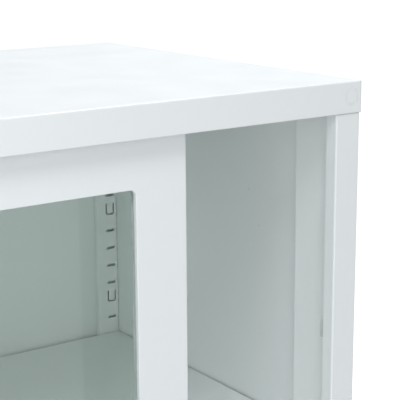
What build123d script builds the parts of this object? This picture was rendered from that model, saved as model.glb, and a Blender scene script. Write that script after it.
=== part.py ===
from build123d import *
from math import radians, tan
import os

os.makedirs("parts", exist_ok=True)

# The cabinet stands on the plane Z = 0, centred on X and Y, with its doors facing -Y.
WIDTH = 900.0
DEPTH = 400.0
HEIGHT = 1050.0

# Sheet-steel body
SHEET = 1.0
BEND = 1.5
LID_EDGE = 26.0
OVERHANG = 1.1
BODY_BOTTOM = 12.0
FLOOR_TOP = 71.0
STILE_WIDTH = 25.0
RETURN_DEPTH = 12.0
REAR_FLANGE = 15.0

LID_FRONT = -DEPTH / 2
LID_UNDER = HEIGHT - SHEET
BODY_FRONT = LID_FRONT + OVERHANG
BODY_BACK = DEPTH / 2 - OVERHANG
BODY_SIDE = WIDTH / 2 - OVERHANG
INNER_SIDE = BODY_SIDE - SHEET
STILE_EDGE = BODY_SIDE - STILE_WIDTH
RETURN_END = BODY_FRONT + RETURN_DEPTH
BACK_FACE = BODY_BACK - 2 * SHEET

# Corner posts, with a row of slots every 20 mm and a pressed tongue in place of every fifth slot
POST_FACE = INNER_SIDE - 13.8
POST_REAR = LID_FRONT + 65.0
STRIP_FACE = LID_FRONT + 391.0
STRIP_WIDTH = 25.6
SLOT_WIDTH = 10.0
SLOT_HEIGHT = 2.9
SLOT_PITCH = 20.0
FRONT_SLOT_X = WIDTH / 2 - 9.5
REAR_SLOT_X = WIDTH / 2 - 11.0
TOP_SLOT = HEIGHT - 46.0
SLOT_COUNT = 46
TONGUE_WIDTH = 10.7
TONGUE_HEIGHT = 13.8
TONGUE_SLIT = 1.8
TONGUE_CORNER = 2.0
TONGUE_OFFSET = 0.6
slot_levels = [TOP_SLOT - SLOT_PITCH * step for step in range(SLOT_COUNT)]
tongue_slots = [level for step, level in enumerate(slot_levels) if step % 5 == 2]

# Sliding doors: the right one runs in the front lane, the left one in the rear lane
DOOR_THICK = 20.0
DOOR_FRAME = 45.5
DOOR_EDGE = POST_FACE - 2.3
DOOR_WIDTH = (2 * DOOR_EDGE + DOOR_FRAME) / 2
DOOR_BOTTOM = FLOOR_TOP + 9.0
DOOR_TOP = HEIGHT - 14.0
DOOR_HEIGHT = DOOR_TOP - DOOR_BOTTOM
DOOR_MIDDLE = (DOOR_TOP + DOOR_BOTTOM) / 2
FRONT_LANE = LID_FRONT + 15.8
REAR_LANE = FRONT_LANE + DOOR_THICK + 4.0
RIGHT_DOOR_OPEN = 145.0
WINDOW_TOP = HEIGHT - 66.6
WINDOW_BOTTOM = DOOR_BOTTOM + 50.0
WINDOW_WIDTH = DOOR_WIDTH - 2 * DOOR_FRAME
WINDOW_HEIGHT = WINDOW_TOP - WINDOW_BOTTOM
WINDOW_MIDDLE = (WINDOW_TOP + WINDOW_BOTTOM) / 2
WINDOW_RADIUS = 5.0
HEM_DEPTH = 3.4
HEM_BEND = 0.8
GASKET_LEG = 1.0
GLASS_THICK = 4.0
GLASS_LAP = 8.0
GLASS_CORNER = 2.0
GASKET_EDGE = 2.0
CLAMP_LAP = 6.5
CLAMP_SLOPE = 25.0
DOOR_LIP = 12.0
DOOR_SCREW_RADIUS = 1.5
HANDLE_LEVEL = HEIGHT / 2
PULL_WIDTH = 20.0
PULL_HEIGHT = 96.0
PULL_CORNER = 4.0
PULL_FLANGE = 4.0
PULL_PROUD = 1.2
PULL_DEPTH = 12.0
PULL_WALL = 1.5

# Running gear of the doors
TRACK_WALL = 1.5
TRACK_DROP = 21.5
TRACK_CLEARANCE = 1.0
RAIL_HEIGHT = 5.0
RAIL_WIDTH = 2.5
ROLLER_GROOVE_RADIUS = 8.0
ROLLER_RADIUS = 10.5
ROLLER_WIDTH = 8.0
GROOVE_HALF = 1.7
CHEEK = 1.5
CHEEK_GAP = ROLLER_WIDTH + 1.0
HOUSING_LENGTH = 26.0
AXLE_RADIUS = 2.0
SCREW_RADIUS = 2.0
RUNNING_GAP = 0.05
ROLLER_SPREAD = 180.0
RAIL_TOP = FLOOR_TOP + TRACK_WALL + RAIL_HEIGHT
AXLE_LEVEL = RAIL_TOP + ROLLER_GROOVE_RADIUS + 0.1

# Push lock in the inner stile of the right door
LOCK_RADIUS = 9.0
LOCK_FLANGE_RADIUS = 12.0
BARREL_RADIUS = 6.0
BOLT_RADIUS = 3.25
PLUG_RADIUS = 4.0
STRIKE_WALL = 2.0
LOCK_STROKE = 8.0

# Shelves and the clips that carry them
SHELF_RIM = 25.0
SHELF_LEVELS = {"upper": HEIGHT - 324.0, "lower": HEIGHT - 664.0}
CLIP_SHEET = 1.5
CLIP_REACH = 16.0
CLIP_DROP = 17.0

# Levelling feet
FOOT_X = 425.0
FOOT_Y = 165.0
PAD_RADIUS = 17.0
STEM_RADIUS = 5.0
BRACKET_LEVEL = 26.0
BRACKET_SHEET = 2.0

foot_places = [(x, y) for x in (-FOOT_X, FOOT_X) for y in (-FOOT_Y, FOOT_Y)]
sides = {"left": -1, "right": 1}


def save(piece, name):
    """Label a finished piece and write it as its own STEP file."""
    piece.part.label = name
    export_step(piece.part, f"parts/{name}.step")


def folded(points, side=1):
    """Outline of a bent sheet: its outer face runs through the points, its thickness lies to their left."""
    route = [(side * x, y) for x, y in points]
    if side < 0:
        route.reverse()
    with BuildSketch() as profile:
        with BuildLine():
            FilletPolyline(*route, radius=BEND)
            offset(amount=SHEET, side=Side.LEFT)
        make_face()
    return profile.sketch


def slot_row(x):
    """One post's row of slots at the given X; every fifth is the round-cornered U cut of a pressed tongue."""
    leg = (TONGUE_WIDTH - TONGUE_SLIT) / 2
    top = TONGUE_HEIGHT - TONGUE_SLIT
    with BuildSketch() as row:
        with Locations(*[(x, level) for level in slot_levels if level not in tongue_slots]):
            Rectangle(SLOT_WIDTH, SLOT_HEIGHT)
        for level in tongue_slots:
            base = level - TONGUE_SLIT / 2 - TONGUE_OFFSET
            route = [(x - leg, base + top), (x - leg, base), (x + leg, base), (x + leg, base + top)]
            with BuildLine():
                FilletPolyline(*route, radius=TONGUE_CORNER)
            trace(line_width=TONGUE_SLIT)
    return row.sketch


# ---------------------------------------------------------------- body shell


def make_top_panel():
    """The lid: a tray turned upside down, with a flange under its front edge between the stiles."""
    with BuildPart() as lid:
        with BuildSketch(Plane.XY.offset(HEIGHT - LID_EDGE)):
            RectangleRounded(WIDTH, DEPTH, BEND + 0.5)
        extrude(amount=LID_EDGE)
        fillet(lid.faces().sort_by(Axis.Z)[-1].edges(), BEND)
        offset(amount=-SHEET, openings=lid.faces().sort_by(Axis.Z)[0])
        flange = RETURN_DEPTH
        with BuildSketch(Plane.XY.offset(HEIGHT - LID_EDGE)):
            with Locations((0, LID_FRONT + SHEET / 2 + flange / 2)):
                Rectangle(2 * STILE_EDGE - 1, flange)
        extrude(amount=SHEET)
    save(lid, "top_panel")


def make_side_panel(name, side):
    """Side wall, folded at the front into the stile and its return, and at the back into a flange."""
    outline = [
        (STILE_EDGE, RETURN_END),
        (STILE_EDGE, BODY_FRONT),
        (BODY_SIDE, BODY_FRONT),
        (BODY_SIDE, BODY_BACK),
        (BODY_SIDE - REAR_FLANGE, BODY_BACK),
    ]
    with BuildPart() as panel:
        with BuildSketch(Plane.XY.offset(BODY_BOTTOM)):
            add(folded(outline, side))
        extrude(amount=LID_UNDER - BEND / 2 - BODY_BOTTOM)
    save(panel, f"{name}_side_panel")


def make_back_panel():
    """Plain sheet in front of the side walls' rear flanges."""
    with BuildPart() as panel:
        with BuildSketch(Plane.XZ.offset(-BACK_FACE)):
            with Locations((0, (LID_UNDER + BODY_BOTTOM) / 2)):
                Rectangle(2 * INNER_SIDE - BEND, LID_UNDER - BODY_BOTTOM)
        extrude(amount=-SHEET)
    save(panel, "back_panel")


def make_bottom_panel():
    """Floor of the cabinet, folded down into the kick plate at the front and a flange at the back."""
    kick_half = STILE_EDGE - 0.3
    with BuildPart() as floor:
        with BuildSketch(Plane.XY.offset(FLOOR_TOP - SHEET)):
            with Locations((0, (RETURN_END + 0.3 + BACK_FACE) / 2)):
                Rectangle(2 * INNER_SIDE, BACK_FACE - RETURN_END - 0.3)
            with Locations((0, (BODY_FRONT + RETURN_END + 1) / 2)):
                Rectangle(2 * kick_half, RETURN_END + 1 - BODY_FRONT)
        extrude(amount=SHEET)
        with BuildSketch(Plane.XZ.offset(-BODY_FRONT)):
            with Locations((0, (FLOOR_TOP + BODY_BOTTOM) / 2)):
                Rectangle(2 * kick_half, FLOOR_TOP - BODY_BOTTOM)
        extrude(amount=-SHEET)
        with BuildSketch(Plane.XZ.offset(-(BACK_FACE - SHEET))):
            with Locations((0, FLOOR_TOP - REAR_FLANGE / 2)):
                Rectangle(2 * INNER_SIDE, REAR_FLANGE)
        extrude(amount=-SHEET)
        front_edge = floor.edges().filter_by(Axis.X).filter_by_position(Axis.Y, BODY_FRONT, BODY_FRONT)
        fillet(front_edge.sort_by(Axis.Z)[-1], SHEET)
        with BuildSketch(Plane.XY.offset(FLOOR_TOP)):
            with Locations(*track_screw_places):
                Circle(SCREW_RADIUS)
        extrude(amount=-SHEET, mode=Mode.SUBTRACT)
    save(floor, "bottom_panel")


def make_front_post(name, side):
    """Channel behind the stile that closes the door bay; its rear web carries the front shelf clips."""
    outline = [
        (INNER_SIDE, POST_REAR),
        (POST_FACE, POST_REAR),
        (POST_FACE, RETURN_END),
        (INNER_SIDE, RETURN_END),
    ]
    with BuildPart() as post:
        with BuildSketch(Plane.XY.offset(FLOOR_TOP)):
            add(folded(outline, side))
        extrude(amount=LID_UNDER - FLOOR_TOP)
        with BuildSketch(Plane.XZ.offset(-POST_REAR)):
            add(slot_row(side * FRONT_SLOT_X))
        extrude(amount=SHEET, mode=Mode.SUBTRACT)
    save(post, f"{name}_front_post")


def make_rear_post(name, side):
    """Slotted channel in the back corner."""
    outline = [
        (INNER_SIDE - STRIP_WIDTH, BACK_FACE),
        (INNER_SIDE - STRIP_WIDTH, STRIP_FACE),
        (INNER_SIDE, STRIP_FACE),
        (INNER_SIDE, BACK_FACE),
    ]
    with BuildPart() as post:
        with BuildSketch(Plane.XY.offset(FLOOR_TOP)):
            add(folded(outline, side))
        extrude(amount=LID_UNDER - FLOOR_TOP)
        with BuildSketch(Plane.XZ.offset(-STRIP_FACE)):
            add(slot_row(side * REAR_SLOT_X))
        extrude(amount=-SHEET, mode=Mode.SUBTRACT)
    save(post, f"{name}_rear_post")


def make_top_brackets():
    """Four angle brackets that tie the lid to the side walls, and the screws that hold the lid."""
    leg = 24.0
    length = 30.0
    screw_inset = 14.0
    places = [(side, y) for side in (-1, 1) for y in (-115.0, 170.0)]
    with BuildPart() as brackets:
        for side, y in places:
            with BuildSketch(Plane.XZ.offset(-(y - length / 2))):
                with BuildLine():
                    Polyline(
                        (side * INNER_SIDE, LID_UNDER),
                        (side * (INNER_SIDE - leg), LID_UNDER),
                        (side * (INNER_SIDE - leg), LID_UNDER - CLIP_SHEET),
                        (side * (INNER_SIDE - CLIP_SHEET), LID_UNDER - CLIP_SHEET),
                        (side * (INNER_SIDE - CLIP_SHEET), LID_UNDER - leg),
                        (side * INNER_SIDE, LID_UNDER - leg),
                        close=True,
                    )
                make_face()
            extrude(amount=-length)
        with BuildSketch(Plane.XY.offset(LID_UNDER)):
            with Locations(*[(side * (INNER_SIDE - screw_inset), y) for side, y in places]):
                Circle(SCREW_RADIUS)
        extrude(amount=-CLIP_SHEET, mode=Mode.SUBTRACT)
    save(brackets, "top_brackets")

    with BuildPart() as screws:
        with BuildSketch(Plane.XY.offset(LID_UNDER - CLIP_SHEET)):
            with Locations(*[(side * (INNER_SIDE - screw_inset), y) for side, y in places]):
                Circle(SCREW_RADIUS - RUNNING_GAP)
        extrude(amount=CLIP_SHEET)
        with BuildSketch(Plane.XY.offset(LID_UNDER - CLIP_SHEET)):
            with Locations(*[(side * (INNER_SIDE - screw_inset), y) for side, y in places]):
                Circle(2 * SCREW_RADIUS)
        extrude(amount=-2.0)
        fillet(screws.faces().group_by(Axis.Z)[0].edges(), 0.8)
    save(screws, "top_panel_screws")


# ---------------------------------------------------------------- tracks

track_half = POST_FACE - 0.2
lane_centres = [lane + DOOR_THICK / 2 for lane in (FRONT_LANE, REAR_LANE)]
track_front = FRONT_LANE - TRACK_CLEARANCE - TRACK_WALL
track_back = REAR_LANE + DOOR_THICK + TRACK_CLEARANCE + TRACK_WALL
track_middle = (track_front + track_back) / 2
track_screw_places = [(x, track_middle) for x in (-400.0, -200.0, 0.0, 200.0, 400.0)]


def make_top_track():
    """Double channel under the lid, open downwards, that holds both doors upright."""
    fins = [track_front + TRACK_WALL / 2, track_middle, track_back - TRACK_WALL / 2]
    fin_widths = [TRACK_WALL, 4.0 - 2 * TRACK_CLEARANCE, TRACK_WALL]
    with BuildPart() as track:
        with BuildSketch(Plane.YZ.offset(-track_half)):
            with Locations((track_middle, LID_UNDER - TRACK_WALL / 2)):
                Rectangle(track_back - track_front, TRACK_WALL)
            for y, width in zip(fins, fin_widths):
                with Locations((y, LID_UNDER - TRACK_WALL - TRACK_DROP / 2)):
                    Rectangle(width, TRACK_DROP)
        extrude(amount=2 * track_half)
    save(track, "top_track")


def make_bottom_track():
    """Base strip with a round-topped rail in each lane, and low lips along both edges."""
    lip = 4.0
    with BuildPart() as track:
        with BuildSketch(Plane.YZ.offset(-track_half)):
            with Locations((track_middle, FLOOR_TOP + TRACK_WALL / 2)):
                Rectangle(track_back - track_front, TRACK_WALL)
            for y in lane_centres:
                with Locations((y, RAIL_TOP - RAIL_WIDTH / 2)):
                    Circle(RAIL_WIDTH / 2)
                with Locations((y, (FLOOR_TOP + TRACK_WALL + RAIL_TOP - RAIL_WIDTH / 2) / 2)):
                    Rectangle(RAIL_WIDTH, RAIL_HEIGHT - RAIL_WIDTH / 2)
            for y in (track_front + TRACK_WALL / 2, track_back - TRACK_WALL / 2):
                with Locations((y, FLOOR_TOP + TRACK_WALL + lip / 2)):
                    Rectangle(TRACK_WALL, lip)
        extrude(amount=2 * track_half)
        with BuildSketch(Plane.XY.offset(FLOOR_TOP)):
            with Locations(*track_screw_places):
                Circle(SCREW_RADIUS)
        extrude(amount=TRACK_WALL, mode=Mode.SUBTRACT)
    save(track, "bottom_track")

    with BuildPart() as screws:
        with BuildSketch(Plane.XY.offset(FLOOR_TOP - 5.0)):
            with Locations(*track_screw_places):
                Circle(SCREW_RADIUS - RUNNING_GAP)
        extrude(amount=5.0 + TRACK_WALL)
        with BuildSketch(Plane.XY.offset(FLOOR_TOP + TRACK_WALL)):
            with Locations(*track_screw_places):
                Circle(2 * SCREW_RADIUS)
        extrude(amount=1.6)
        fillet(screws.faces().group_by(Axis.Z)[-1].edges(), 0.8)
    save(screws, "track_screws")


def make_door_buffers():
    """Rubber blocks on the posts, at two heights, that the doors' outer edges meet."""
    thick = 2.0
    depth = 10.0
    height = 15.0
    levels = (HEIGHT - 216.0, FLOOR_TOP + 180.0)
    with BuildPart() as buffers:
        for side, lane_start in ((-1, REAR_LANE + 5.0), (1, FRONT_LANE + 0.5)):
            with BuildSketch(Plane.YZ.offset(side * POST_FACE)):
                with Locations(*[(lane_start + depth / 2, z) for z in levels]):
                    RectangleRounded(depth, height, 1.5)
            extrude(amount=-side * thick)
        fillet(buffers.faces().group_by(Axis.X)[0].edges(), 0.4)
    save(buffers, "door_buffers")


# ---------------------------------------------------------------- doors


def window_ring(centre_x, wall):
    """Flat ring round the window, whose inner edge is the window's outline."""
    with BuildSketch() as ring:
        with Locations((centre_x, WINDOW_MIDDLE)):
            RectangleRounded(WINDOW_WIDTH + 2 * wall, WINDOW_HEIGHT + 2 * wall, WINDOW_RADIUS + wall)
            RectangleRounded(WINDOW_WIDTH, WINDOW_HEIGHT, WINDOW_RADIUS, mode=Mode.SUBTRACT)
    return ring.sketch


def pull_place(side, centre_x):
    """X of the pull, in the middle of the door's outer stile."""
    return centre_x + side * (DOOR_WIDTH - DOOR_FRAME) / 2


def lock_place(side, centre_x):
    """X of the lock or its strike, in the middle of the door's inner stile."""
    return centre_x - side * (DOOR_WIDTH - DOOR_FRAME) / 2


def roller_places(centre_x):
    """X of a door's two rollers."""
    return [centre_x - ROLLER_SPREAD, centre_x + ROLLER_SPREAD]


def door_screw_places(centre_x):
    """X and Z of the screws that hold the inner frame to the lips of the door's shell."""
    x = (DOOR_WIDTH - DOOR_LIP) / 2
    z = DOOR_HEIGHT / 2 - 2 * DOOR_LIP
    rows = [-z, -z / 3, z / 3, z]
    return [(centre_x + end * x, DOOR_MIDDLE + row) for end in (-1, 1) for row in rows]


def make_door_shell(name, side, centre_x, face):
    """Outer shell of a door: a shallow tray with returned lips, its window edge folded back into a hem."""
    back = face + DOOR_THICK
    inner_stile = LOCK_RADIUS if side > 0 else BOLT_RADIUS + STRIKE_WALL
    with BuildPart() as shell:
        with BuildSketch(Plane.XZ.offset(-face)):
            with Locations((centre_x, DOOR_MIDDLE)):
                Rectangle(DOOR_WIDTH, DOOR_HEIGHT)
        extrude(amount=-(DOOR_THICK - SHEET))
        fillet(shell.faces().sort_by(Axis.Y)[0].edges(), BEND)
        offset(amount=-SHEET, openings=shell.faces().sort_by(Axis.Y)[-1])
        with BuildSketch(Plane.XZ.offset(-(back - SHEET))):
            with Locations((centre_x, DOOR_MIDDLE)):
                Rectangle(DOOR_WIDTH, DOOR_HEIGHT)
                Rectangle(DOOR_WIDTH - 2 * DOOR_LIP, DOOR_HEIGHT - 2 * DOOR_LIP, mode=Mode.SUBTRACT)
        extrude(amount=SHEET)
        with BuildSketch(Plane.XZ.offset(-face)):
            with Locations((centre_x, WINDOW_MIDDLE)):
                RectangleRounded(WINDOW_WIDTH, WINDOW_HEIGHT, WINDOW_RADIUS)
        extrude(amount=-SHEET, mode=Mode.SUBTRACT)
        with BuildSketch(Plane.XZ.offset(-face)):
            add(window_ring(centre_x, SHEET))
        extrude(amount=-HEM_DEPTH)
        front_edges = shell.edges().filter_by_position(Axis.Y, face, face)
        reach = WINDOW_WIDTH / 2 + 1
        fillet(front_edges.filter_by_position(Axis.X, centre_x - reach, centre_x + reach), HEM_BEND)
        # Openings for the pull, and for the lock or its strike
        with BuildSketch(Plane.XZ.offset(-face)):
            with Locations((pull_place(side, centre_x), HANDLE_LEVEL)):
                RectangleRounded(PULL_WIDTH, PULL_HEIGHT, PULL_CORNER)
            with Locations((lock_place(side, centre_x), HANDLE_LEVEL)):
                Circle(inner_stile)
        extrude(amount=-SHEET, mode=Mode.SUBTRACT)
        with BuildSketch(Plane.XZ.offset(-back)):
            with Locations(*door_screw_places(centre_x)):
                Circle(DOOR_SCREW_RADIUS)
        extrude(amount=2 * SHEET, mode=Mode.SUBTRACT)
        with BuildSketch(Plane.XY.offset(DOOR_BOTTOM)):
            with Locations(*[(x, face + DOOR_THICK / 2) for x in roller_places(centre_x)]):
                Rectangle(2 * ROLLER_RADIUS + 4, CHEEK_GAP)
        extrude(amount=SHEET, mode=Mode.SUBTRACT)
    save(shell, f"{name}_door_frame")


def make_door_inner_frame(name, side, centre_x, face):
    """Flat frame behind the shell's lips, with a sloping flange that clamps the glass and gasket."""
    back = face + DOOR_THICK
    clamp = face + HEM_DEPTH + 2 * GASKET_LEG + GLASS_THICK
    flange_depth = back - SHEET - clamp
    lap = CLAMP_LAP + flange_depth * tan(radians(CLAMP_SLOPE))
    with BuildPart() as inner:
        with BuildSketch(Plane.XZ.offset(-back)):
            with Locations((centre_x, DOOR_MIDDLE)):
                Rectangle(DOOR_WIDTH - 1, DOOR_HEIGHT - 1)
            with Locations((centre_x, WINDOW_MIDDLE)):
                Rectangle(WINDOW_WIDTH + 2 * lap, WINDOW_HEIGHT + 2 * lap, mode=Mode.SUBTRACT)
            with Locations(*door_screw_places(centre_x)):
                Circle(DOOR_SCREW_RADIUS, mode=Mode.SUBTRACT)
            if side > 0:
                with Locations((lock_place(side, centre_x), HANDLE_LEVEL)):
                    Circle(BOLT_RADIUS + 1, mode=Mode.SUBTRACT)
        extrude(amount=SHEET)
        for wall, mode in ((SHEET, Mode.ADD), (0, Mode.SUBTRACT)):
            reach = 2 * (CLAMP_LAP + wall)
            with BuildSketch(Plane.XZ.offset(-clamp)):
                with Locations((centre_x, WINDOW_MIDDLE)):
                    Rectangle(WINDOW_WIDTH + reach, WINDOW_HEIGHT + reach)
            extrude(amount=-(flange_depth + SHEET), taper=-CLAMP_SLOPE, mode=mode)
    save(inner, f"{name}_door_inner_frame")


def make_door_glazing(name, centre_x, face):
    """Glass pane, and the U-shaped gasket that runs round its edge."""
    gasket_front = face + HEM_DEPTH
    gasket_depth = GLASS_THICK + 2 * GASKET_LEG
    pane = (WINDOW_WIDTH + 2 * GLASS_LAP, WINDOW_HEIGHT + 2 * GLASS_LAP)
    with BuildPart() as glass:
        with BuildSketch(Plane.XZ.offset(-(gasket_front + GASKET_LEG))):
            with Locations((centre_x, WINDOW_MIDDLE)):
                RectangleRounded(*pane, GLASS_CORNER)
        extrude(amount=-GLASS_THICK)
    save(glass, f"{name}_door_glass")

    with BuildPart() as gasket:
        with BuildSketch(Plane.XZ.offset(-gasket_front)):
            with Locations((centre_x, WINDOW_MIDDLE)):
                RectangleRounded(pane[0] + 2 * GASKET_EDGE, pane[1] + 2 * GASKET_EDGE, GLASS_CORNER + 1)
        extrude(amount=-gasket_depth)
        with BuildSketch(Plane.XZ.offset(-(gasket_front + GASKET_LEG))):
            with Locations((centre_x, WINDOW_MIDDLE)):
                RectangleRounded(*pane, GLASS_CORNER)
        extrude(amount=-GLASS_THICK, mode=Mode.SUBTRACT)
        with BuildSketch(Plane.XZ.offset(-gasket_front)):
            with Locations((centre_x, WINDOW_MIDDLE)):
                RectangleRounded(WINDOW_WIDTH, WINDOW_HEIGHT, WINDOW_RADIUS)
        extrude(amount=-gasket_depth, mode=Mode.SUBTRACT)
    save(gasket, f"{name}_door_gasket")


def make_door_pull(name, side, centre_x, face):
    """Recessed pull: a flange on the door's face round a cup for the fingers."""
    cup = [size - 2 * PULL_WALL for size in (PULL_WIDTH, PULL_HEIGHT)]
    with BuildPart() as pull:
        with BuildSketch(Plane.XZ.offset(-face)):
            with Locations((pull_place(side, centre_x), HANDLE_LEVEL)):
                RectangleRounded(PULL_WIDTH + 2 * PULL_FLANGE, PULL_HEIGHT + 2 * PULL_FLANGE, PULL_CORNER + 3)
        extrude(amount=PULL_PROUD)
        fillet(pull.faces().sort_by(Axis.Y)[0].edges(), 0.8)
        with BuildSketch(Plane.XZ.offset(-face)):
            with Locations((pull_place(side, centre_x), HANDLE_LEVEL)):
                RectangleRounded(PULL_WIDTH - 0.2, PULL_HEIGHT - 0.2, PULL_CORNER - 0.1)
        extrude(amount=-PULL_DEPTH)
        with BuildSketch(Plane.XZ.offset(-(face - PULL_PROUD))):
            with Locations((pull_place(side, centre_x), HANDLE_LEVEL)):
                RectangleRounded(*cup, PULL_CORNER - PULL_WALL)
        extrude(amount=-(PULL_DEPTH + PULL_PROUD - PULL_WALL), mode=Mode.SUBTRACT)
    save(pull, f"{name}_door_pull")


def make_door_guides_and_screws(name, centre_x, face):
    """Nylon guides on the door's top corners, and the screws that join its shell and inner frame."""
    back = face + DOOR_THICK
    guide_x = DOOR_WIDTH / 2 - 40
    with BuildPart() as guides:
        with BuildSketch(Plane.XY.offset(DOOR_TOP)):
            with Locations(*[(centre_x + end * guide_x, face + DOOR_THICK / 2) for end in (-1, 1)]):
                RectangleRounded(44, DOOR_THICK + 2 * TRACK_CLEARANCE - 0.6, 2)
        extrude(amount=6)
        fillet(guides.faces().group_by(Axis.Z)[-1].edges(), 1.2)
    save(guides, f"{name}_door_top_guides")

    with BuildPart() as screws:
        with BuildSketch(Plane.XZ.offset(-back)):
            with Locations(*door_screw_places(centre_x)):
                Circle(DOOR_SCREW_RADIUS - RUNNING_GAP)
        extrude(amount=6)
        with BuildSketch(Plane.XZ.offset(-back)):
            with Locations(*door_screw_places(centre_x)):
                Circle(2 * DOOR_SCREW_RADIUS)
        extrude(amount=-1.5)
        fillet(screws.faces().group_by(Axis.Y)[-1].edges(), 0.7)
    save(screws, f"{name}_door_screws")


def make_door_rollers(name, centre_x, face):
    """Two housings in the door's bottom edge, each with an axle and a grooved roller on the rail."""
    lane = face + DOOR_THICK / 2
    cheek_top = AXLE_LEVEL + ROLLER_RADIUS + 3
    axle_length = CHEEK_GAP + 2 * CHEEK + 2
    places = roller_places(centre_x)
    with BuildPart() as housings:
        for x in places:
            with BuildSketch(Plane.YZ.offset(x - HOUSING_LENGTH / 2)):
                with Locations((lane, (DOOR_BOTTOM + SHEET + cheek_top) / 2)):
                    Rectangle(CHEEK_GAP + 2 * CHEEK, cheek_top - DOOR_BOTTOM - SHEET)
                with Locations((lane, (DOOR_BOTTOM + cheek_top - CHEEK) / 2)):
                    Rectangle(CHEEK_GAP, cheek_top - DOOR_BOTTOM - CHEEK, mode=Mode.SUBTRACT)
            extrude(amount=HOUSING_LENGTH)
        with BuildSketch(Plane.XZ.offset(-(lane - axle_length / 2))):
            with Locations(*[(x, AXLE_LEVEL) for x in places]):
                Circle(AXLE_RADIUS)
        extrude(amount=-axle_length, mode=Mode.SUBTRACT)
    save(housings, f"{name}_door_roller_housings")

    with BuildPart() as axles:
        with BuildSketch(Plane.XZ.offset(-(lane - axle_length / 2))):
            with Locations(*[(x, AXLE_LEVEL) for x in places]):
                Circle(AXLE_RADIUS - 0.02)
        extrude(amount=-axle_length)
    save(axles, f"{name}_door_roller_axles")

    half = ROLLER_WIDTH / 2
    edge = 0.5
    for place, x in zip(("left", "right"), places):
        upper = [
            (x + AXLE_RADIUS + RUNNING_GAP, half),
            (x + ROLLER_RADIUS - edge, half),
            (x + ROLLER_RADIUS, half - edge),
            (x + ROLLER_RADIUS, GROOVE_HALF + edge),
            (x + ROLLER_GROOVE_RADIUS, GROOVE_HALF),
        ]
        outline = [(px, lane + w) for px, w in upper] + [(px, lane - w) for px, w in reversed(upper)]
        with BuildPart() as roller:
            with BuildSketch(Plane.XY.offset(AXLE_LEVEL)):
                with BuildLine():
                    Polyline(*outline, close=True)
                make_face()
            revolve(axis=Axis((x, lane, AXLE_LEVEL), (0, 1, 0)))
        save(roller, f"{name}_door_{place}_roller")


def make_door(name, side, centre_x, face):
    """All the pieces of one sliding door. side is +1 for the right door, face is the Y of its front."""
    make_door_shell(name, side, centre_x, face)
    make_door_inner_frame(name, side, centre_x, face)
    make_door_glazing(name, centre_x, face)
    make_door_pull(name, side, centre_x, face)
    make_door_guides_and_screws(name, centre_x, face)
    make_door_rollers(name, centre_x, face)


def make_lock(lock_x, face):
    """Push lock: a housing fixed in the stile, a barrel with its bolt that is pushed in, and the key plug."""
    mouth = face - 2.0
    rear = face + DOOR_THICK - 3.0
    back_wall = 2.0
    barrel_front = mouth - LOCK_STROKE
    barrel_rear = rear - back_wall - LOCK_STROKE - 1.0

    with BuildPart() as housing:
        with BuildSketch(Plane.XZ.offset(-face)):
            with Locations((lock_x, HANDLE_LEVEL)):
                Circle(LOCK_RADIUS - RUNNING_GAP)
        extrude(amount=face - rear)
        with BuildSketch(Plane.XZ.offset(-face)):
            with Locations((lock_x, HANDLE_LEVEL)):
                Circle(LOCK_FLANGE_RADIUS)
        extrude(amount=2.0)
        fillet(housing.faces().sort_by(Axis.Y)[0].edges(), 0.8)
        with BuildSketch(Plane.XZ.offset(-mouth)):
            with Locations((lock_x, HANDLE_LEVEL)):
                Circle(BARREL_RADIUS + RUNNING_GAP)
        extrude(amount=mouth - (rear - back_wall), mode=Mode.SUBTRACT)
        with BuildSketch(Plane.XZ.offset(-rear)):
            with Locations((lock_x, HANDLE_LEVEL)):
                Circle(BOLT_RADIUS + RUNNING_GAP)
        extrude(amount=back_wall, mode=Mode.SUBTRACT)
    save(housing, "lock_housing")

    with BuildPart() as barrel:
        with BuildSketch(Plane.XZ.offset(-barrel_front)):
            with Locations((lock_x, HANDLE_LEVEL)):
                Circle(BARREL_RADIUS)
        extrude(amount=barrel_front - barrel_rear)
        chamfer(barrel.faces().sort_by(Axis.Y)[0].edges(), 0.6)
        with BuildSketch(Plane.XZ.offset(-barrel_rear)):
            with Locations((lock_x, HANDLE_LEVEL)):
                Circle(BOLT_RADIUS)
        extrude(amount=barrel_rear - (face + DOOR_THICK - 0.5))
        with BuildSketch(Plane.XZ.offset(-barrel_front)):
            with Locations((lock_x, HANDLE_LEVEL)):
                Circle(PLUG_RADIUS + RUNNING_GAP)
        extrude(amount=barrel_front - (barrel_rear - 2.0), mode=Mode.SUBTRACT)
    save(barrel, "lock_barrel")

    with BuildPart() as plug:
        with BuildSketch(Plane.XZ.offset(-barrel_front)):
            with Locations((lock_x, HANDLE_LEVEL)):
                Circle(PLUG_RADIUS)
        extrude(amount=barrel_front - (barrel_rear - 2.2))
        with BuildSketch(Plane.XZ.offset(-barrel_front)):
            with Locations((lock_x, HANDLE_LEVEL)):
                Rectangle(1.2, 5.6)
        extrude(amount=-7.0, mode=Mode.SUBTRACT)
    save(plug, "lock_plug")


def make_lock_strike(strike_x, face):
    """Steel bush in the left door's inner stile that the bolt enters."""
    with BuildPart() as strike:
        with BuildSketch(Plane.XZ.offset(-face)):
            with Locations((strike_x, HANDLE_LEVEL)):
                Circle(BOLT_RADIUS + STRIKE_WALL - RUNNING_GAP)
                Circle(BOLT_RADIUS + 0.6, mode=Mode.SUBTRACT)
        extrude(amount=-6.0)
        with BuildSketch(Plane.XZ.offset(-face)):
            with Locations((strike_x, HANDLE_LEVEL)):
                Circle(BOLT_RADIUS + 2 * STRIKE_WALL)
                Circle(BOLT_RADIUS + 0.6, mode=Mode.SUBTRACT)
        extrude(amount=0.8)
    save(strike, "lock_strike")


# ---------------------------------------------------------------- shelves


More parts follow.
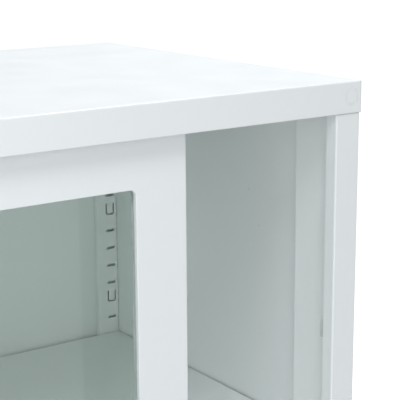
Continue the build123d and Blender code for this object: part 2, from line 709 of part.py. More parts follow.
def make_shelf(name, level):
    """Shelf tray with a turned-down rim all round, and the hat-section rib under its middle."""
    front = POST_REAR + 1.5
    back = STRIP_FACE - 0.8
    middle = (front + back) / 2
    rib_width, rib_depth, rib_foot = 40.0, 18.0, 12.0
    with BuildPart() as shelf:
        with BuildSketch(Plane.XY.offset(level - SHELF_RIM)):
            with Locations((0, middle)):
                RectangleRounded(2 * INNER_SIDE - 2.4, back - front, BEND)
        extrude(amount=SHELF_RIM)
        fillet(shelf.faces().sort_by(Axis.Z)[-1].edges(), BEND - 0.3)
        offset(amount=-SHEET, openings=shelf.faces().sort_by(Axis.Z)[0])
    save(shelf, f"{name}_shelf")

    under = level - SHEET
    with BuildPart() as rib:
        with BuildSketch(Plane.YZ.offset(-INNER_SIDE + 12)):
            with BuildLine():
                Polyline(
                    (middle - rib_width / 2 - rib_foot, under),
                    (middle - rib_width / 2 - rib_foot, under - SHEET),
                    (middle - rib_width / 2, under - SHEET),
                    (middle - rib_width / 2, under - rib_depth),
                    (middle + rib_width / 2, under - rib_depth),
                    (middle + rib_width / 2, under - SHEET),
                    (middle + rib_width / 2 + rib_foot, under - SHEET),
                    (middle + rib_width / 2 + rib_foot, under),
                    (middle + rib_width / 2 - SHEET, under),
                    (middle + rib_width / 2 - SHEET, under - rib_depth + SHEET),
                    (middle - rib_width / 2 + SHEET, under - rib_depth + SHEET),
                    (middle - rib_width / 2 + SHEET, under),
                    close=True,
                )
            make_face()
        extrude(amount=2 * (INNER_SIDE - 12))
    save(rib, f"{name}_shelf_rib")


def make_shelf_clips(name, level):
    """Four bent clips, each hooked into a post's slot, whose ledges carry the shelf's rim."""
    ledge = level - SHELF_RIM
    slot = ledge - CLIP_DROP
    hook_gap = 0.3
    width = 9.0
    with BuildPart() as clips:
        for wall, away, slot_x in ((POST_REAR, 1, FRONT_SLOT_X), (STRIP_FACE, -1, REAR_SLOT_X)):
            plate = wall + away * CLIP_SHEET
            behind = wall - away * (SHEET + hook_gap)
            hook_end = behind - away * CLIP_SHEET
            tongue = CLIP_SHEET / 2
            outline = [
                (wall, ledge),
                (wall + away * CLIP_REACH, ledge),
                (wall + away * CLIP_REACH, ledge - CLIP_SHEET),
                (plate, ledge - CLIP_SHEET),
                (plate, slot - 6),
                (wall, slot - 6),
                (wall, slot - tongue),
                (behind, slot - tongue),
                (behind, slot - 5),
                (hook_end, slot - 5),
                (hook_end, slot + tongue),
                (wall, slot + tongue),
            ]
            for side in (-1, 1):
                with BuildSketch(Plane.YZ.offset(side * slot_x - width / 2)):
                    with BuildLine():
                        Polyline(*outline, close=True)
                    make_face()
                extrude(amount=width)
    save(clips, f"{name}_shelf_clips")


# ---------------------------------------------------------------- levelling feet


def make_feet():
    """Corner brackets, screwed stems with their collars and nuts, and moulded pads."""
    plate = 44.0
    with BuildPart() as brackets:
        for x, y in foot_places:
            out = 1 if x > 0 else -1
            edge = out * INNER_SIDE
            with BuildSketch(Plane.XY.offset(BRACKET_LEVEL - BRACKET_SHEET)):
                with Locations((edge - out * plate / 2, y)):
                    Rectangle(plate, 40)
                with Locations((x, y)):
                    Circle(STEM_RADIUS + RUNNING_GAP, mode=Mode.SUBTRACT)
            extrude(amount=BRACKET_SHEET)
            with BuildSketch(Plane.XY.offset(BRACKET_LEVEL)):
                with Locations((edge - out * BRACKET_SHEET / 2, y)):
                    Rectangle(BRACKET_SHEET, 40)
            extrude(amount=30)
    save(brackets, "foot_brackets")

    with BuildPart() as stems:
        with BuildSketch(Plane.XY.offset(7)):
            with Locations(*foot_places):
                Circle(STEM_RADIUS)
        extrude(amount=43)
        chamfer(stems.faces().group_by(Axis.Z)[-1].edges(), 0.8)
        with BuildSketch(Plane.XY.offset(8)):
            with Locations(*foot_places):
                RegularPolygon(9.8, 6)
        extrude(amount=6)
    save(stems, "foot_stems")

    with BuildPart() as nuts:
        with BuildSketch(Plane.XY.offset(BRACKET_LEVEL)):
            with Locations(*foot_places):
                RegularPolygon(9.8, 6)
                Circle(STEM_RADIUS + RUNNING_GAP, mode=Mode.SUBTRACT)
        extrude(amount=8)
    save(nuts, "foot_nuts")

    with BuildPart() as pads:
        with BuildSketch(Plane.XY):
            with Locations(*foot_places):
                Circle(PAD_RADIUS)
        extrude(amount=8)
        fillet(pads.faces().group_by(Axis.Z)[-1].edges(), 3)
        chamfer(pads.faces().group_by(Axis.Z)[0].edges(), 0.8)
        with BuildSketch(Plane.XY.offset(7)):
            with Locations(*foot_places):
                Circle(STEM_RADIUS)
        extrude(amount=1, mode=Mode.SUBTRACT)
    save(pads, "foot_pads")


make_top_panel()
for name, side in sides.items():
    make_side_panel(name, side)
    make_front_post(name, side)
    make_rear_post(name, side)
make_back_panel()
make_bottom_panel()
make_top_brackets()
make_top_track()
make_bottom_track()
make_door_buffers()

right_centre = DOOR_EDGE - DOOR_WIDTH / 2 - RIGHT_DOOR_OPEN
left_centre = -DOOR_EDGE + DOOR_WIDTH / 2
make_door("right", 1, right_centre, FRONT_LANE)
make_door("left", -1, left_centre, REAR_LANE)
make_lock(lock_place(1, right_centre), FRONT_LANE)
make_lock_strike(lock_place(-1, left_centre), REAR_LANE)

for name, level in SHELF_LEVELS.items():
    make_shelf(name, level)
    make_shelf_clips(name, level)
make_feet()
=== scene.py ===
"""Looks for the sliding-door cabinet: finishes, fine detail pieces, studio light and camera."""

import math
import random

import bmesh
import bpy
from mathutils import Matrix, Vector


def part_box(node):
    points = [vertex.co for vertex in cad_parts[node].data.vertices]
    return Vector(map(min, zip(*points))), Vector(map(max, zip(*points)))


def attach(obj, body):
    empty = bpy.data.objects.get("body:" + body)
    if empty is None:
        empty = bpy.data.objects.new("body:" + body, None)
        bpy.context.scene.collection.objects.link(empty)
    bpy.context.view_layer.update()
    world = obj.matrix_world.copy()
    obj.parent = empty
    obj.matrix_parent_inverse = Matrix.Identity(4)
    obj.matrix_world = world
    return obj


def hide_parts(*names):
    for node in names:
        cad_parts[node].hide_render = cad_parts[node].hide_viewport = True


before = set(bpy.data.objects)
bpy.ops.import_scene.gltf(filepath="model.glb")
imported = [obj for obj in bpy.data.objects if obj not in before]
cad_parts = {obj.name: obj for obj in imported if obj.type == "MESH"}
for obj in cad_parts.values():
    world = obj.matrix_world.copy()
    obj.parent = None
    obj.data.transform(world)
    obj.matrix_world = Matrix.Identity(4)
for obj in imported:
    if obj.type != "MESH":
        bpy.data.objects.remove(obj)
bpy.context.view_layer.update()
random.seed(4)
MM = 0.001


# ---------------------------------------------------------------- node helpers


def new_material(name, colour, roughness, **settings):
    """A Principled material; settings are its other sockets' plain values."""
    made = bpy.data.materials.new(name)
    made.use_nodes = True
    shader = made.node_tree.nodes["Principled BSDF"]
    shader.inputs["Base Color"].default_value = (*colour, 1)
    shader.inputs["Roughness"].default_value = roughness
    for socket, value in settings.items():
        shader.inputs[socket.replace("_", " ")].default_value = value
    return made, made.node_tree, shader


def add(tree, kind, inputs=None, **settings):
    """Adds a shader node. inputs maps a socket to a plain value or to another node's output."""
    made = tree.nodes.new("ShaderNode" + kind)
    for key, value in settings.items():
        setattr(made, key, value)
    for socket, value in (inputs or {}).items():
        if isinstance(value, bpy.types.NodeSocket):
            tree.links.new(value, made.inputs[socket])
        else:
            made.inputs[socket].default_value = value
    return made


def object_place(tree):
    return add(tree, "TexCoord").outputs["Object"]


def noise(tree, place, scale, detail=2.0, roughness=0.5):
    sockets = {"Vector": place, "Scale": scale, "Detail": detail, "Roughness": roughness}
    return add(tree, "TexNoise", sockets).outputs["Fac"]


def remap(tree, value, low, high, new_low=0.0, new_high=1.0):
    """Maps low..high to new_low..new_high, held at both ends."""
    sockets = {"Value": value, "From Min": low, "From Max": high, "To Min": new_low, "To Max": new_high}
    return add(tree, "MapRange", sockets).outputs["Result"]


def mix(tree, factor, first, second, blend="MIX"):
    """Mixes two colours by a factor; 6 and 7 are the Mix node's colour sockets."""
    first = first if isinstance(first, bpy.types.NodeSocket) else (*first, 1)
    second = second if isinstance(second, bpy.types.NodeSocket) else (*second, 1)
    made = add(tree, "Mix", {0: factor, 6: first, 7: second}, data_type="RGBA", blend_type=blend)
    return made.outputs[2]


def math_node(tree, operation, first, second=0.0):
    return add(tree, "Math", {0: first, 1: second}, operation=operation).outputs[0]


def bump(tree, shader, height, distance, strength):
    sockets = {"Height": height, "Distance": distance, "Strength": strength}
    tree.links.new(add(tree, "Bump", sockets).outputs["Normal"], shader.inputs["Normal"])


def edge_mask(tree, radius):
    """1 on sharp edges and tight bends, 0 on flat faces: how far a rounded normal leans from the true one."""
    true = add(tree, "NewGeometry").outputs["Normal"]
    rounded = add(tree, "Bevel", {"Radius": radius}, samples=4).outputs["Normal"]
    lean = add(tree, "VectorMath", {0: true, 1: rounded}, operation="DOT_PRODUCT").outputs["Value"]
    return remap(tree, lean, 0.999, 0.9)


def distance_from(tree, place, centre):
    return add(tree, "VectorMath", {0: place, 1: centre}, operation="DISTANCE").outputs["Value"]


def spot(tree, place, centre, radius, soft):
    """1 inside a ball round centre and 0 outside it, with a soft rim."""
    return remap(tree, distance_from(tree, place, centre), radius + soft, radius - soft)


def shade(colour, share):
    return [c * share for c in colour]


# ---------------------------------------------------------------- finishes

PAINT = (0.884, 0.921, 0.906)
# Painted shade, laid into creases and corners.
CREASE_SHADE = (0.52, 0.55, 0.53)
# Painted highlight, laid onto edges and tight bends.
EDGE_HIGHLIGHT = (0.93, 0.95, 0.95)
# Painted shade, for the ring round the lid's dimple.
DIMPLE_SHADE = (0.62, 0.66, 0.64)
# Painted shadow, for the seam under the lid's edge.
SEAM_SHADOW = (0.42, 0.44, 0.43)
SPECK = (0.3, 0.31, 0.3)
GLASS_TINT = (0.875, 0.94, 0.905)
GLASS_SHADOW = (0.95, 0.98, 0.965)
ALUMINIUM = (0.72, 0.73, 0.74)
ZINC = (0.66, 0.67, 0.68)
ZINC_BLUE = (0.58, 0.6, 0.64)
ZINC_YELLOW = (0.74, 0.73, 0.68)

# The ring's middle is this far in from the lid's right end and up from its lower edge. The ring is painted
# shade for a shallow dimple, drawn as a darker streaked ring.
RING_INSET = 11 * MM
RING_RAISE = 13.5 * MM
RING_RADIUS = 6.3 * MM
RING_FADE = 2.2 * MM
RING_CORE = 0.3 * MM
# The seam's painted shadow is a level band just below the lid's lower edge, where the lid's edge shades the
# part below.
SEAM_DROP = 0.3 * MM
SEAM_FADE = 0.9 * MM
SEAM_CORE = 0.3 * MM
# Each speck has a radius and a strength. The two on the right wall have a Y and a Z before them.
SPECK_FADE = 0.4 * MM
CORNER_SPECK = (1.1 * MM, 0.75)
CORNER_SPECK_INSET = 0.7 * MM
WALL_SPECKS = ((-51 * MM, 932.8 * MM, 0.7 * MM, 0.35), (-66.6 * MM, 900.8 * MM, 0.7 * MM, 0.3))
WALL_SHEET = 1 * MM


def powder_coat(name, marks=None):
    """White powder coat: faint clouding, painted shade in corners and creases, a painted highlight on edges
    and bends, orange peel.
    """
    made, tree, shader = new_material(name, PAINT, 0.42, Specular_IOR_Level=0.45)
    place = object_place(tree)
    cloud = remap(tree, noise(tree, place, scale=7.0, detail=3.0), 0.35, 0.65)
    fine = remap(tree, noise(tree, place, scale=90.0), 0.3, 0.7)
    colour = mix(tree, cloud, shade(PAINT, 0.992), PAINT)
    colour = mix(tree, math_node(tree, "MULTIPLY", fine, 0.25), colour, shade(PAINT, 0.97))
    # Painted shade: the coat darkens where ambient occlusion finds creases and corners.
    reach = {"Distance": 9 * MM}
    crease = add(tree, "AmbientOcclusion", reach, samples=6, only_local=False).outputs["AO"]
    crease_shade = remap(tree, crease, 0.75, 0.25, 0.0, 0.35)
    colour = mix(tree, crease_shade, colour, CREASE_SHADE)
    # Painted highlight: edges and tight bends are made paler than the flat faces.
    edge_highlight = math_node(tree, "MULTIPLY", edge_mask(tree, radius=0.7 * MM), 0.18)
    colour = mix(tree, edge_highlight, colour, EDGE_HIGHLIGHT)
    if marks:
        colour = marks(tree, place, colour)
    tree.links.new(colour, shader.inputs["Base Color"])
    rough = remap(tree, noise(tree, place, scale=22.0, detail=3.0), 0.3, 0.7, 0.38, 0.47)
    tree.links.new(rough, shader.inputs["Roughness"])
    peel = noise(tree, place, scale=620.0, detail=1.5)
    bump(tree, shader, peel, distance=0.00006, strength=0.55)
    return made


def glass():
    """Clear float glass, faintly green-grey. Lamps and scattered light shine through it unbent."""
    settings = {"IOR": 1.5, "Transmission_Weight": 1.0}
    made, tree, shader = new_material("door_glass", GLASS_TINT, 0.0, **settings)
    clear = add(tree, "BsdfTransparent", {"Color": (*GLASS_SHADOW, 1)})
    path = add(tree, "LightPath")
    seen = shader
    for ray in ("Is Diffuse Ray", "Is Shadow Ray"):
        seen = add(tree, "MixShader", {0: path.outputs[ray], 1: seen.outputs[0], 2: clear.outputs[0]})
    tree.links.new(seen.outputs[0], tree.nodes["Material Output"].inputs["Surface"])
    return made


def rubber(name, colour):
    """Moulded rubber: fine matt grain, darker and duller in patches."""
    roughness = 0.75
    made, tree, shader = new_material(name, colour, roughness, Specular_IOR_Level=0.3)
    place = object_place(tree)
    patch = remap(tree, noise(tree, place, scale=60.0, detail=3.0), 0.35, 0.7)
    tree.links.new(mix(tree, patch, colour, shade(colour, 0.86)), shader.inputs["Base Color"])
    rough = remap(tree, patch, 0, 1, roughness - 0.08, roughness + 0.1)
    tree.links.new(rough, shader.inputs["Roughness"])
    bump(tree, shader, noise(tree, place, scale=2500.0), distance=0.00005, strength=0.6)
    return made


def anodised():
    """Extruded aluminium: die lines along X under a satin anodised film."""
    made, tree, shader = new_material("track_metal", ALUMINIUM, 0.36, Metallic=1.0)
    place = object_place(tree)
    along = add(tree, "Mapping", {"Vector": place, "Scale": (3.0, 900.0, 900.0)}).outputs["Vector"]
    lines = noise(tree, along, scale=1.0, detail=3.0, roughness=0.7)
    smear = remap(tree, noise(tree, place, scale=14.0), 0.3, 0.7)
    tree.links.new(mix(tree, smear, shade(ALUMINIUM, 0.9), ALUMINIUM), shader.inputs["Base Color"])
    tree.links.new(remap(tree, lines, 0.3, 0.7, 0.28, 0.46), shader.inputs["Roughness"])
    bump(tree, shader, lines, distance=0.00004, strength=0.5)
    return made


def zinc():
    """Bright zinc plate: spangled, between blue and yellow, with fine scratches that run one way."""
    made, tree, shader = new_material("zinc_steel", ZINC, 0.34, Metallic=1.0)
    place = object_place(tree)
    spangle = add(tree, "TexVoronoi", {"Vector": place, "Scale": 260.0}).outputs["Color"]
    hue = remap(tree, noise(tree, place, scale=40.0), 0.3, 0.7)
    tone = mix(tree, hue, ZINC_BLUE, ZINC_YELLOW)
    colour = mix(tree, 0.12, tone, spangle, "OVERLAY")
    tree.links.new(colour, shader.inputs["Base Color"])
    sockets = {"Vector": place, "Rotation": (0.3, 0.5, 0.9), "Scale": (900.0, 60.0, 60.0)}
    scratches = noise(tree, add(tree, "Mapping", sockets).outputs["Vector"], scale=1.0)
    tree.links.new(remap(tree, scratches, 0.35, 0.7, 0.24, 0.44), shader.inputs["Roughness"])
    bump(tree, shader, scratches, distance=0.00003, strength=0.5)
    return made


def plastic(name, colour, roughness, grain=900.0, depth=0.00006, **settings):
    """Moulded plastic with an eroded mould texture, a little shinier in its hollows."""
    made, tree, shader = new_material(name, colour, roughness, **settings)
    place = object_place(tree)
    texture = noise(tree, place, scale=grain, detail=3.0, roughness=0.6)
    soft = remap(tree, noise(tree, place, scale=30.0), 0.3, 0.7)
    tree.links.new(mix(tree, soft, shade(colour, 0.93), colour), shader.inputs["Base Color"])
    rough = remap(tree, texture, 0.3, 0.7, roughness - 0.06, roughness + 0.1)
    tree.links.new(rough, shader.inputs["Roughness"])
    bump(tree, shader, texture, distance=depth, strength=0.7)
    return made


def plated(name, colour, roughness):
    """Plated metal: a very fine grain, with faint finger marks that are darker and duller."""
    made, tree, shader = new_material(name, colour, roughness, Metallic=1.0)
    place = object_place(tree)
    smudge = remap(tree, noise(tree, place, scale=55.0, detail=3.0), 0.45, 0.7)
    tree.links.new(mix(tree, smudge, colour, shade(colour, 0.9)), shader.inputs["Base Color"])
    tree.links.new(remap(tree, smudge, 0, 1, roughness, roughness + 0.14), shader.inputs["Roughness"])
    bump(tree, shader, noise(tree, place, scale=1500.0), distance=0.00001, strength=0.4)
    return made


def body_marks(tree, place, colour):
    """Marks painted on the body: painted shade of a shallow dimple on the lid's corner as a darker streaked
    ring, a painted shadow in the seam under the lid's edge, and three specks.
    """
    low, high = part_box("top_panel")
    # Painted shade: a darker streaked ring stands for the shading round a shallow dimple on the lid's corner.
    dimple_middle = (high.x - RING_INSET, low.y, low.z + RING_RAISE)
    off_ring = math_node(tree, "SUBTRACT", distance_from(tree, place, dimple_middle), RING_RADIUS)
    ring = remap(tree, math_node(tree, "ABSOLUTE", off_ring), RING_FADE, RING_CORE)
    sockets = {"Vector": place, "Rotation": (0, 0.25, 0), "Scale": (520.0, 520.0, 170.0)}
    streaks = noise(tree, add(tree, "Mapping", sockets).outputs["Vector"], scale=1.0)
    streaks = remap(tree, streaks, 0.42, 0.66)
    dimple_shade_mask = math_node(tree, "MULTIPLY", math_node(tree, "MULTIPLY", ring, streaks), 0.34)
    colour = mix(tree, dimple_shade_mask, colour, DIMPLE_SHADE)
    # Painted shadow: a dark level band just below the lid's lower edge.
    height = add(tree, "SeparateXYZ", {"Vector": place}).outputs["Z"]
    off_seam = math_node(tree, "SUBTRACT", height, low.z - SEAM_DROP)
    seam_shadow = remap(tree, math_node(tree, "ABSOLUTE", off_seam), SEAM_FADE, SEAM_CORE)
    colour = mix(tree, math_node(tree, "MULTIPLY", seam_shadow, 0.5), colour, SEAM_SHADOW)
    inset = CORNER_SPECK_INSET
    specks = [((high.x - inset, low.y + inset, high.z - inset), *CORNER_SPECK)]
    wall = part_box("right_side_panel")[1].x - WALL_SHEET
    specks += [((wall, y, z), radius, strength) for y, z, radius, strength in WALL_SPECKS]
    for centre, radius, strength in specks:
        speck = spot(tree, place, centre, radius, SPECK_FADE)
        colour = mix(tree, math_node(tree, "MULTIPLY", speck, strength), colour, SPECK)
    return colour


finishes = {
    "body_paint": powder_coat("body_paint", body_marks),
    "door_paint": powder_coat("door_paint"),
    "door_glass": glass(),
    "gasket_rubber": rubber("gasket_rubber", (0.6, 0.64, 0.63)),
    "buffer_rubber": rubber("buffer_rubber", (0.8, 0.83, 0.81)),
    "track_metal": anodised(),
    "zinc_steel": zinc(),
    "nylon": plastic(
        "nylon",
        (0.78, 0.78, 0.73),
        roughness=0.4,
        grain=500.0,
        depth=0.00003,
        Subsurface_Weight=0.2,
        Subsurface_Scale=0.002,
    ),
    "pull_plastic": plastic("pull_plastic", (0.5, 0.52, 0.53), 0.5),
    "lock_chrome": plated("lock_chrome", (0.78, 0.79, 0.8), 0.12),
    "lock_brass": plated("lock_brass", (0.72, 0.6, 0.36), 0.25),
    "pad_plastic": plastic("pad_plastic", (0.035, 0.036, 0.04), 0.5),
}


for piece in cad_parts.values():
    for holder in piece.material_slots:
        holder.material = finishes[holder.material.name.split(".")[0]]


# ---------------------------------------------------------------- detail pieces

# A screw's head: where its dome starts, as a share of its height, and the dome's rings and curve.
HEAD_RIM = 0.35
HEAD_SHARES = (0.97, 0.9, 0.78, 0.66, 0.55, 0.46, 0.38, 0.3, 0.22, 0.14, 0.06)
HEAD_CURVE = 2.6
# Its cross recess: how far it reaches and how deep it is, and half an arm's width, as shares.
RECESS_REACH = 0.62
RECESS_DEPTH = 0.62
RECESS_ARM = 0.17
# The slopes of the recess: its sides, as a share of half an arm, and its ends, as a share of its reach.
RECESS_SIDE = 0.35
RECESS_END = 0.3
# The shank's radius as a share of the head's, the radius left at its tip, and the tip's length.
SHANK_SHARE = 0.48
TIP_SHARE = 0.7
TIP_LENGTH = 0.4 * MM

STEM_RADIUS = 5 * MM
STEM_END_RADIUS = 4.9 * MM
STEM_COLLAR = (8 * MM, 14 * MM)
THREAD_PITCH = 1.5 * MM
THREAD_DEPTH = 0.85 * MM
THREAD_RINGS_PER_TURN = 6
CHAMFER_STEPS = 3
CHAMFER_LIMIT = 0.985
# The pads' outline, from the floor up: a share of their radius, and a height in mm.
PAD_OUTLINE = (
    (0.8, 0),
    (0.95, 0),
    (0.985, 0.3),
    (1, 0.8),
    (1, 4.6),
    (0.97, 5.8),
    (0.9, 6.8),
    (0.8, 7.4),
    (0.66, 7.7),
    (0.62, 7.2),
    (0.56, 7.2),
    (0.52, 7.8),
    (0.4, 8),
    (0.31, 8),
    (0.3, 7.1),
)
FLUTES = 28
FLUTE_DEPTH = 0.022
# A weld ring's outline, from its rim inwards: a radius and a height in mm.
WELD_OUTLINE = ((3.2, 0.0), (3.0, 0.07), (2.6, 0.1), (2.2, 0.07), (1.6, 0.02), (0.6, 0.0))
WELDS_PER_SIDE = 7
WELD_INSET = 8 * MM
WELD_SINK = 0.01 * MM


def new_piece(name, shape, body, slot, *stands_for, sharp=35):
    """Turns a bmesh, in the CAD frame, into a piece that rides on a body and takes a slot's finish."""
    mesh = bpy.data.meshes.new(name)
    bmesh.ops.recalc_face_normals(shape, faces=shape.faces[:])
    shape.to_mesh(mesh)
    shape.free()
    mesh.materials.append(finishes[slot])
    mesh.polygons.foreach_set("use_smooth", [True] * len(mesh.polygons))
    mesh.set_sharp_from_angle(angle=math.radians(sharp))
    piece = bpy.data.objects.new(name, mesh)
    bpy.context.scene.collection.objects.link(piece)
    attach(piece, body)
    if stands_for:
        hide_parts(*stands_for)


def solids_of(node):
    """Lowest and highest corner of each separate solid of a CAD node, in a steady order."""
    shape = bmesh.new()
    shape.from_mesh(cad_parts[node].data)
    bmesh.ops.remove_doubles(shape, verts=shape.verts[:], dist=1e-6)
    unseen = set(shape.verts)
    found = []
    while unseen:
        island = [unseen.pop()]
        for vert in island:
            for edge in vert.link_edges:
                other = edge.other_vert(vert)
                if other in unseen:
                    unseen.remove(other)
                    island.append(other)
        low = Vector([min(v.co[i] for v in island) for i in range(3)])
        high = Vector([max(v.co[i] for v in island) for i in range(3)])
        found.append((low, high))
    shape.free()
    return sorted(found, key=lambda corners: tuple(round(c, 5) for c in corners[0]))


def surface_of_turning(shape, frame_of, rings, steps):
    """Joins rings of points into one closed skin. A ring is a function from an angle to (radius, height)."""
    made = []
    for ring in rings:
        row = []
        for step in range(steps):
            angle = 2 * math.pi * step / steps
            radius, height = ring(angle)
            point = Vector((radius * math.cos(angle), radius * math.sin(angle), height))
            row.append(shape.verts.new(frame_of @ point))
        made.append(row)
    for lower, upper in zip(made, made[1:]):
        for step in range(steps):
            after = (step + 1) % steps
            shape.faces.new((lower[step], lower[after], upper[after], upper[step]))
    shape.faces.new(made[0])
    shape.faces.new(made[-1])


def plain_ring(radius, height):
    return lambda angle: (radius, height)


def cross_ring(radius, dome, reach, depth, arm):
    """A ring of a screw head, at height dome, with a cross recess sunk into its middle."""

    def at(angle):
        across = min(abs(radius * math.cos(angle)), abs(radius * math.sin(angle)))
        in_arm = max(0.0, min(1.0, (arm - across) / (RECESS_SIDE * arm)))
        in_reach = max(0.0, min(1.0, (reach - radius) / (RECESS_END * reach)))
        return radius, dome - depth * in_arm * in_reach

    return at


def screw(shape, frame_of, radius, height, shank_radius, shank):
    """A pan-head screw with a cross recess: its head stands on the local XY plane, its shank runs down."""
    tip = plain_ring(shank_radius * TIP_SHARE, -shank)
    under = [tip, plain_ring(shank_radius, -shank + TIP_LENGTH), plain_ring(shank_radius, 0.0)]
    under += [plain_ring(radius, 0.0), plain_ring(radius, HEAD_RIM * height)]
    recess = RECESS_REACH * radius, RECESS_DEPTH * height, RECESS_ARM * radius
    domed = []
    for share in HEAD_SHARES:
        dome = height * (HEAD_RIM + (1 - HEAD_RIM) * math.sqrt(1 - share**HEAD_CURVE))
        domed.append(cross_ring(radius * share, dome, *recess))
    surface_of_turning(shape, frame_of, under + domed, steps=48)


def screws_for(node, body, out, head):
    """Stands pan-head screws in a CAD node's place. out is the side its heads face, head their height."""
    shape = bmesh.new()
    turn = Vector(out).to_track_quat("Z", "Y").to_matrix().to_4x4()
    facing = [i for i in range(3) if out[i]][0]
    for low, high in solids_of(node):
        middle = (low + high) / 2
        seat = middle.copy()
        seat[facing] = (high[facing] - head) if out[facing] > 0 else (low[facing] + head)
        wide = (high - low)[(facing + 1) % 3] / 2
        depth = (high - low)[facing] - head
        twist = Matrix.Rotation(random.uniform(0, math.pi), 4, "Z")
        screw(shape, Matrix.Translation(seat) @ turn @ twist, wide, head, SHANK_SHARE * wide, depth)
    new_piece(f"{node}_cross_head", shape, body, "zinc_steel", node)


def hexagon(across, angle):
    """Radius of a hexagon, given its distance across the corners, at an angle."""
    return across / 2 * math.cos(math.pi / 6) / math.cos(angle % (math.pi / 3) - math.pi / 6)


def hexagon_rings(across, bottom, top):
    """Rings of a hexagon with turned chamfers on both faces."""
    flat = across / 2 * math.cos(math.pi / 6)
    cut = (across / 2 - flat) / math.sqrt(3)
    steps = range(CHAMFER_STEPS + 1)
    reach = [flat + cut * math.sqrt(3) * step / CHAMFER_STEPS for step in steps]
    levels = [(bottom + cut * step / CHAMFER_STEPS, reach[step]) for step in steps]
    levels += [(top - cut * step / CHAMFER_STEPS, reach[step]) for step in reversed(steps)]
    rings = []
    for z, limit in levels:
        rings.append(lambda a, z=z, limit=limit: (min(hexagon(across, a), limit * CHAMFER_LIMIT), z))
    return rings


def thread_rings(radius, bottom, top):
    """Rings of a right-hand thread that tapers to its root over the last pitch below the top."""
    pitch, depth = THREAD_PITCH, THREAD_DEPTH
    count = int((top - bottom) / pitch * THREAD_RINGS_PER_TURN)
    rings = []
    for step in range(count + 1):
        z = bottom + (top - bottom) * step / count
        fade = min(1.0, (top - z) / pitch)

        def at(angle, z=z, fade=fade):
            phase = (z / pitch - angle / (2 * math.pi)) % 1.0
            groove = depth * (1 - abs(2 * phase - 1))
            return radius - max(groove, (1 - fade) * depth), z

        rings.append(at)
    return rings


def make_feet():
    """Threaded stems with their hexagon collars, chamfered lock nuts, and fluted moulded pads."""
    stems, nuts, pads = bmesh.new(), bmesh.new(), bmesh.new()
    for low, high in solids_of("foot_stems"):
        middle = (low + high) / 2
        across = (high - low).x
        rings = [plain_ring(STEM_END_RADIUS, low.z), *hexagon_rings(across, *STEM_COLLAR)]
        rings += thread_rings(STEM_RADIUS, STEM_COLLAR[1], high.z)
        surface_of_turning(stems, Matrix.Translation((middle.x, middle.y, 0)), rings, steps=36)
    new_piece("foot_stems_threaded", stems, "cabinet", "zinc_steel", "foot_stems", sharp=28)
    for low, high in solids_of("foot_nuts"):
        middle = (low + high) / 2
        rings = hexagon_rings((high - low).x, low.z, high.z)
        surface_of_turning(nuts, Matrix.Translation((middle.x, middle.y, 0)), rings, steps=48)
    new_piece("foot_nuts_chamfered", nuts, "cabinet", "zinc_steel", "foot_nuts")
    for low, high in solids_of("foot_pads"):
        middle = (low + high) / 2
        rings = fluted_rings((high - low).x / 2)
        surface_of_turning(pads, Matrix.Translation((middle.x, middle.y, 0)), rings, steps=112)
    new_piece("foot_pads_fluted", pads, "cabinet", "pad_plastic", "foot_pads")


def fluted_rings(radius):
    """Rings of a moulded pad, with flutes round its upright side."""
    rings = []
    for share, z in PAD_OUTLINE:
        flute = FLUTE_DEPTH if 0.5 < z < 5.5 and share > 0.97 else 0.0

        def at(angle, r=radius * share, z=z * MM, flute=flute):
            return r * (1 - flute * (1 + math.cos(FLUTES * angle)) / 2), z

        rings.append(at)
    return rings


def make_spot_welds():
    """Shallow raised rings where the side panels' rear flanges are spot welded."""
    shape = bmesh.new()
    turn = Vector((0, 1, 0)).to_track_quat("Z", "Y").to_matrix().to_4x4()
    rings = [plain_ring(radius * MM, height * MM) for radius, height in WELD_OUTLINE]
    for node, inwards in (("left_side_panel", 1), ("right_side_panel", -1)):
        low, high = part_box(node)
        edge = low.x if inwards > 0 else high.x
        for row in range(WELDS_PER_SIDE):
            z = low.z + (high.z - low.z) * (row + 0.5) / WELDS_PER_SIDE
            centre = (edge + inwards * WELD_INSET, high.y - WELD_SINK, z)
            surface_of_turning(shape, Matrix.Translation(centre) @ turn, rings, steps=28)
    new_piece("spot_welds", shape, "cabinet", "body_paint")


screws_for("top_panel_screws", "cabinet", (0, 0, -1), 2.0 * MM)
screws_for("track_screws", "cabinet", (0, 0, 1), 1.6 * MM)
screws_for("left_door_screws", "left_door", (0, 1, 0), 1.5 * MM)
screws_for("right_door_screws", "right_door", (0, 1, 0), 1.5 * MM)
make_feet()
make_spot_welds()


# ---------------------------------------------------------------- studio

FLOOR_HALF = 40.0
FLOOR_GLOW = 0.8
LIGHTS_AIM = (0.3, 0.0, 0.85)
DAYLIGHT = (0.955, 0.965, 1.0)
WHITE = (1, 1, 1, 1)
WALLS_STRENGTH = 0.37
WALLS_SEEN = 1.02
CAMERA_PLACE = (-0.2156, -0.9193, 1.1771)
CAMERA_YAW, CAMERA_PITCH, CAMERA_ROLL = (math.radians(a) for a in (34.99, -13.13, -0.35))
CAMERA_LENS = 107.83
CAMERA_SENSOR = 36.0
CAMERA_CLIP = (0.05, 200.0)


def make_floor():
    """Plain pale floor. It also glows for the camera alone, which whitens it and lights nothing."""
    mesh = bpy.data.meshes.new("floor")
    corners = [(x * FLOOR_HALF, y * FLOOR_HALF, 0) for x, y in ((-1, -1), (1, -1), (1, 1), (-1, 1))]
    mesh.from_pydata(corners, [], [(0, 1, 2, 3)])
    floor = bpy.data.objects.new("floor", mesh)
    bpy.context.scene.collection.objects.link(floor)
    made, tree, shader = new_material("floor_white", (0.8, 0.8, 0.8), 0.9)
    shader.inputs["Emission Color"].default_value = WHITE
    camera_ray = add(tree, "LightPath").outputs["Is Camera Ray"]
    tree.links.new(math_node(tree, "MULTIPLY", camera_ray, FLOOR_GLOW), shader.inputs["Emission Strength"])
    mesh.materials.append(made)


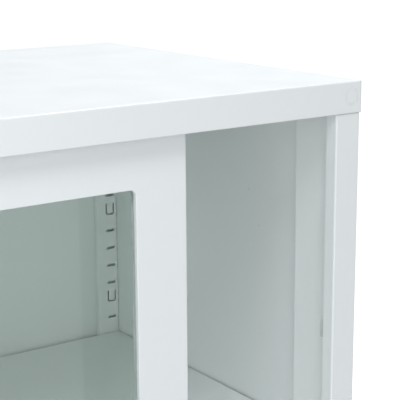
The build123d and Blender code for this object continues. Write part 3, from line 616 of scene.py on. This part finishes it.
def soft_light(name, azimuth, elevation, distance, size, power, mirrored=True):
    """A round lamp aimed at the right door. Azimuth 0 is in front of it and 90 to its right."""
    data = bpy.data.lights.new(name, "AREA")
    data.shape = "DISK"
    data.size = size
    data.energy = power
    data.color = DAYLIGHT
    around, above = math.radians(azimuth), math.radians(elevation)
    level = math.cos(above)
    outwards = Vector((math.sin(around) * level, -math.cos(around) * level, math.sin(above)))
    light = bpy.data.objects.new(name, data)
    light.location = Vector(LIGHTS_AIM) + outwards * distance
    light.rotation_mode = "QUATERNION"
    light.rotation_quaternion = (-outwards).to_track_quat("-Z", "Y")
    light.visible_camera = False
    light.visible_glossy = mirrored
    bpy.context.scene.collection.objects.link(light)


def make_white_card(low, high, distance, radiance):
    """A glowing white card in front of the cabinet. low and high are two of its corners, in X and Z."""
    data = bpy.data.lights.new("white_card", "AREA")
    data.shape = "RECTANGLE"
    data.size, data.size_y = high[0] - low[0], high[1] - low[1]
    data.energy = radiance * math.pi * data.size * data.size_y
    data.color = DAYLIGHT
    card = bpy.data.objects.new("white_card", data)
    card.location = ((low[0] + high[0]) / 2, -distance, (low[1] + high[1]) / 2)
    card.rotation_euler = (math.pi / 2, 0, 0)
    card.visible_camera = False
    bpy.context.scene.collection.objects.link(card)


def make_world():
    """Even pale studio walls. The camera sees them as plain white."""
    world = bpy.data.worlds.new("studio")
    world.use_nodes = True
    tree = world.node_tree
    walls = tree.nodes["Background"]
    walls.inputs["Color"].default_value = (*DAYLIGHT, 1)
    walls.inputs["Strength"].default_value = WALLS_STRENGTH
    seen = add(tree, "Background", {"Color": WHITE, "Strength": WALLS_SEEN})
    camera_ray = add(tree, "LightPath").outputs["Is Camera Ray"]
    mixer = add(tree, "MixShader", {0: camera_ray, 1: walls.outputs[0], 2: seen.outputs[0]})
    tree.links.new(mixer.outputs[0], tree.nodes["World Output"].inputs["Surface"])
    bpy.context.scene.world = world


def make_camera():
    """Camera at the reference's viewing angle: from the front and left, a little above the lid."""
    data = bpy.data.cameras.new("camera")
    data.sensor_width = CAMERA_SENSOR
    data.lens = CAMERA_LENS
    data.clip_start, data.clip_end = CAMERA_CLIP
    camera = bpy.data.objects.new("camera", data)
    yaw = Matrix.Rotation(-CAMERA_YAW, 4, "Z")
    pitch = Matrix.Rotation(math.pi / 2 + CAMERA_PITCH, 4, "X")
    roll = Matrix.Rotation(CAMERA_ROLL, 4, "Z")
    camera.matrix_world = Matrix.Translation(CAMERA_PLACE) @ (yaw @ pitch @ roll)
    bpy.context.scene.collection.objects.link(camera)
    bpy.context.scene.camera = camera


make_floor()
make_world()
soft_light("key", azimuth=-25, elevation=50, distance=2.4, size=1.0, power=16.6)
soft_light("front_fill", azimuth=-25, elevation=10, distance=2.4, size=1.0, power=2.6, mirrored=False)
soft_light("left_fill", azimuth=-50, elevation=10, distance=1.3, size=0.6, power=3.35, mirrored=False)
soft_light("overhead", azimuth=90, elevation=70, distance=1.3, size=0.6, power=3.0)
soft_light("back", azimuth=135, elevation=60, distance=2.4, size=1.0, power=22)
soft_light("back_fill", azimuth=205, elevation=10, distance=3.0, size=1.2, power=20, mirrored=False)
make_white_card(low=(-1.6, 0.02), high=(1.04, 1.2), distance=1.7, radiance=0.4)
make_camera()
bpy.context.scene.view_settings.view_transform = "Standard"
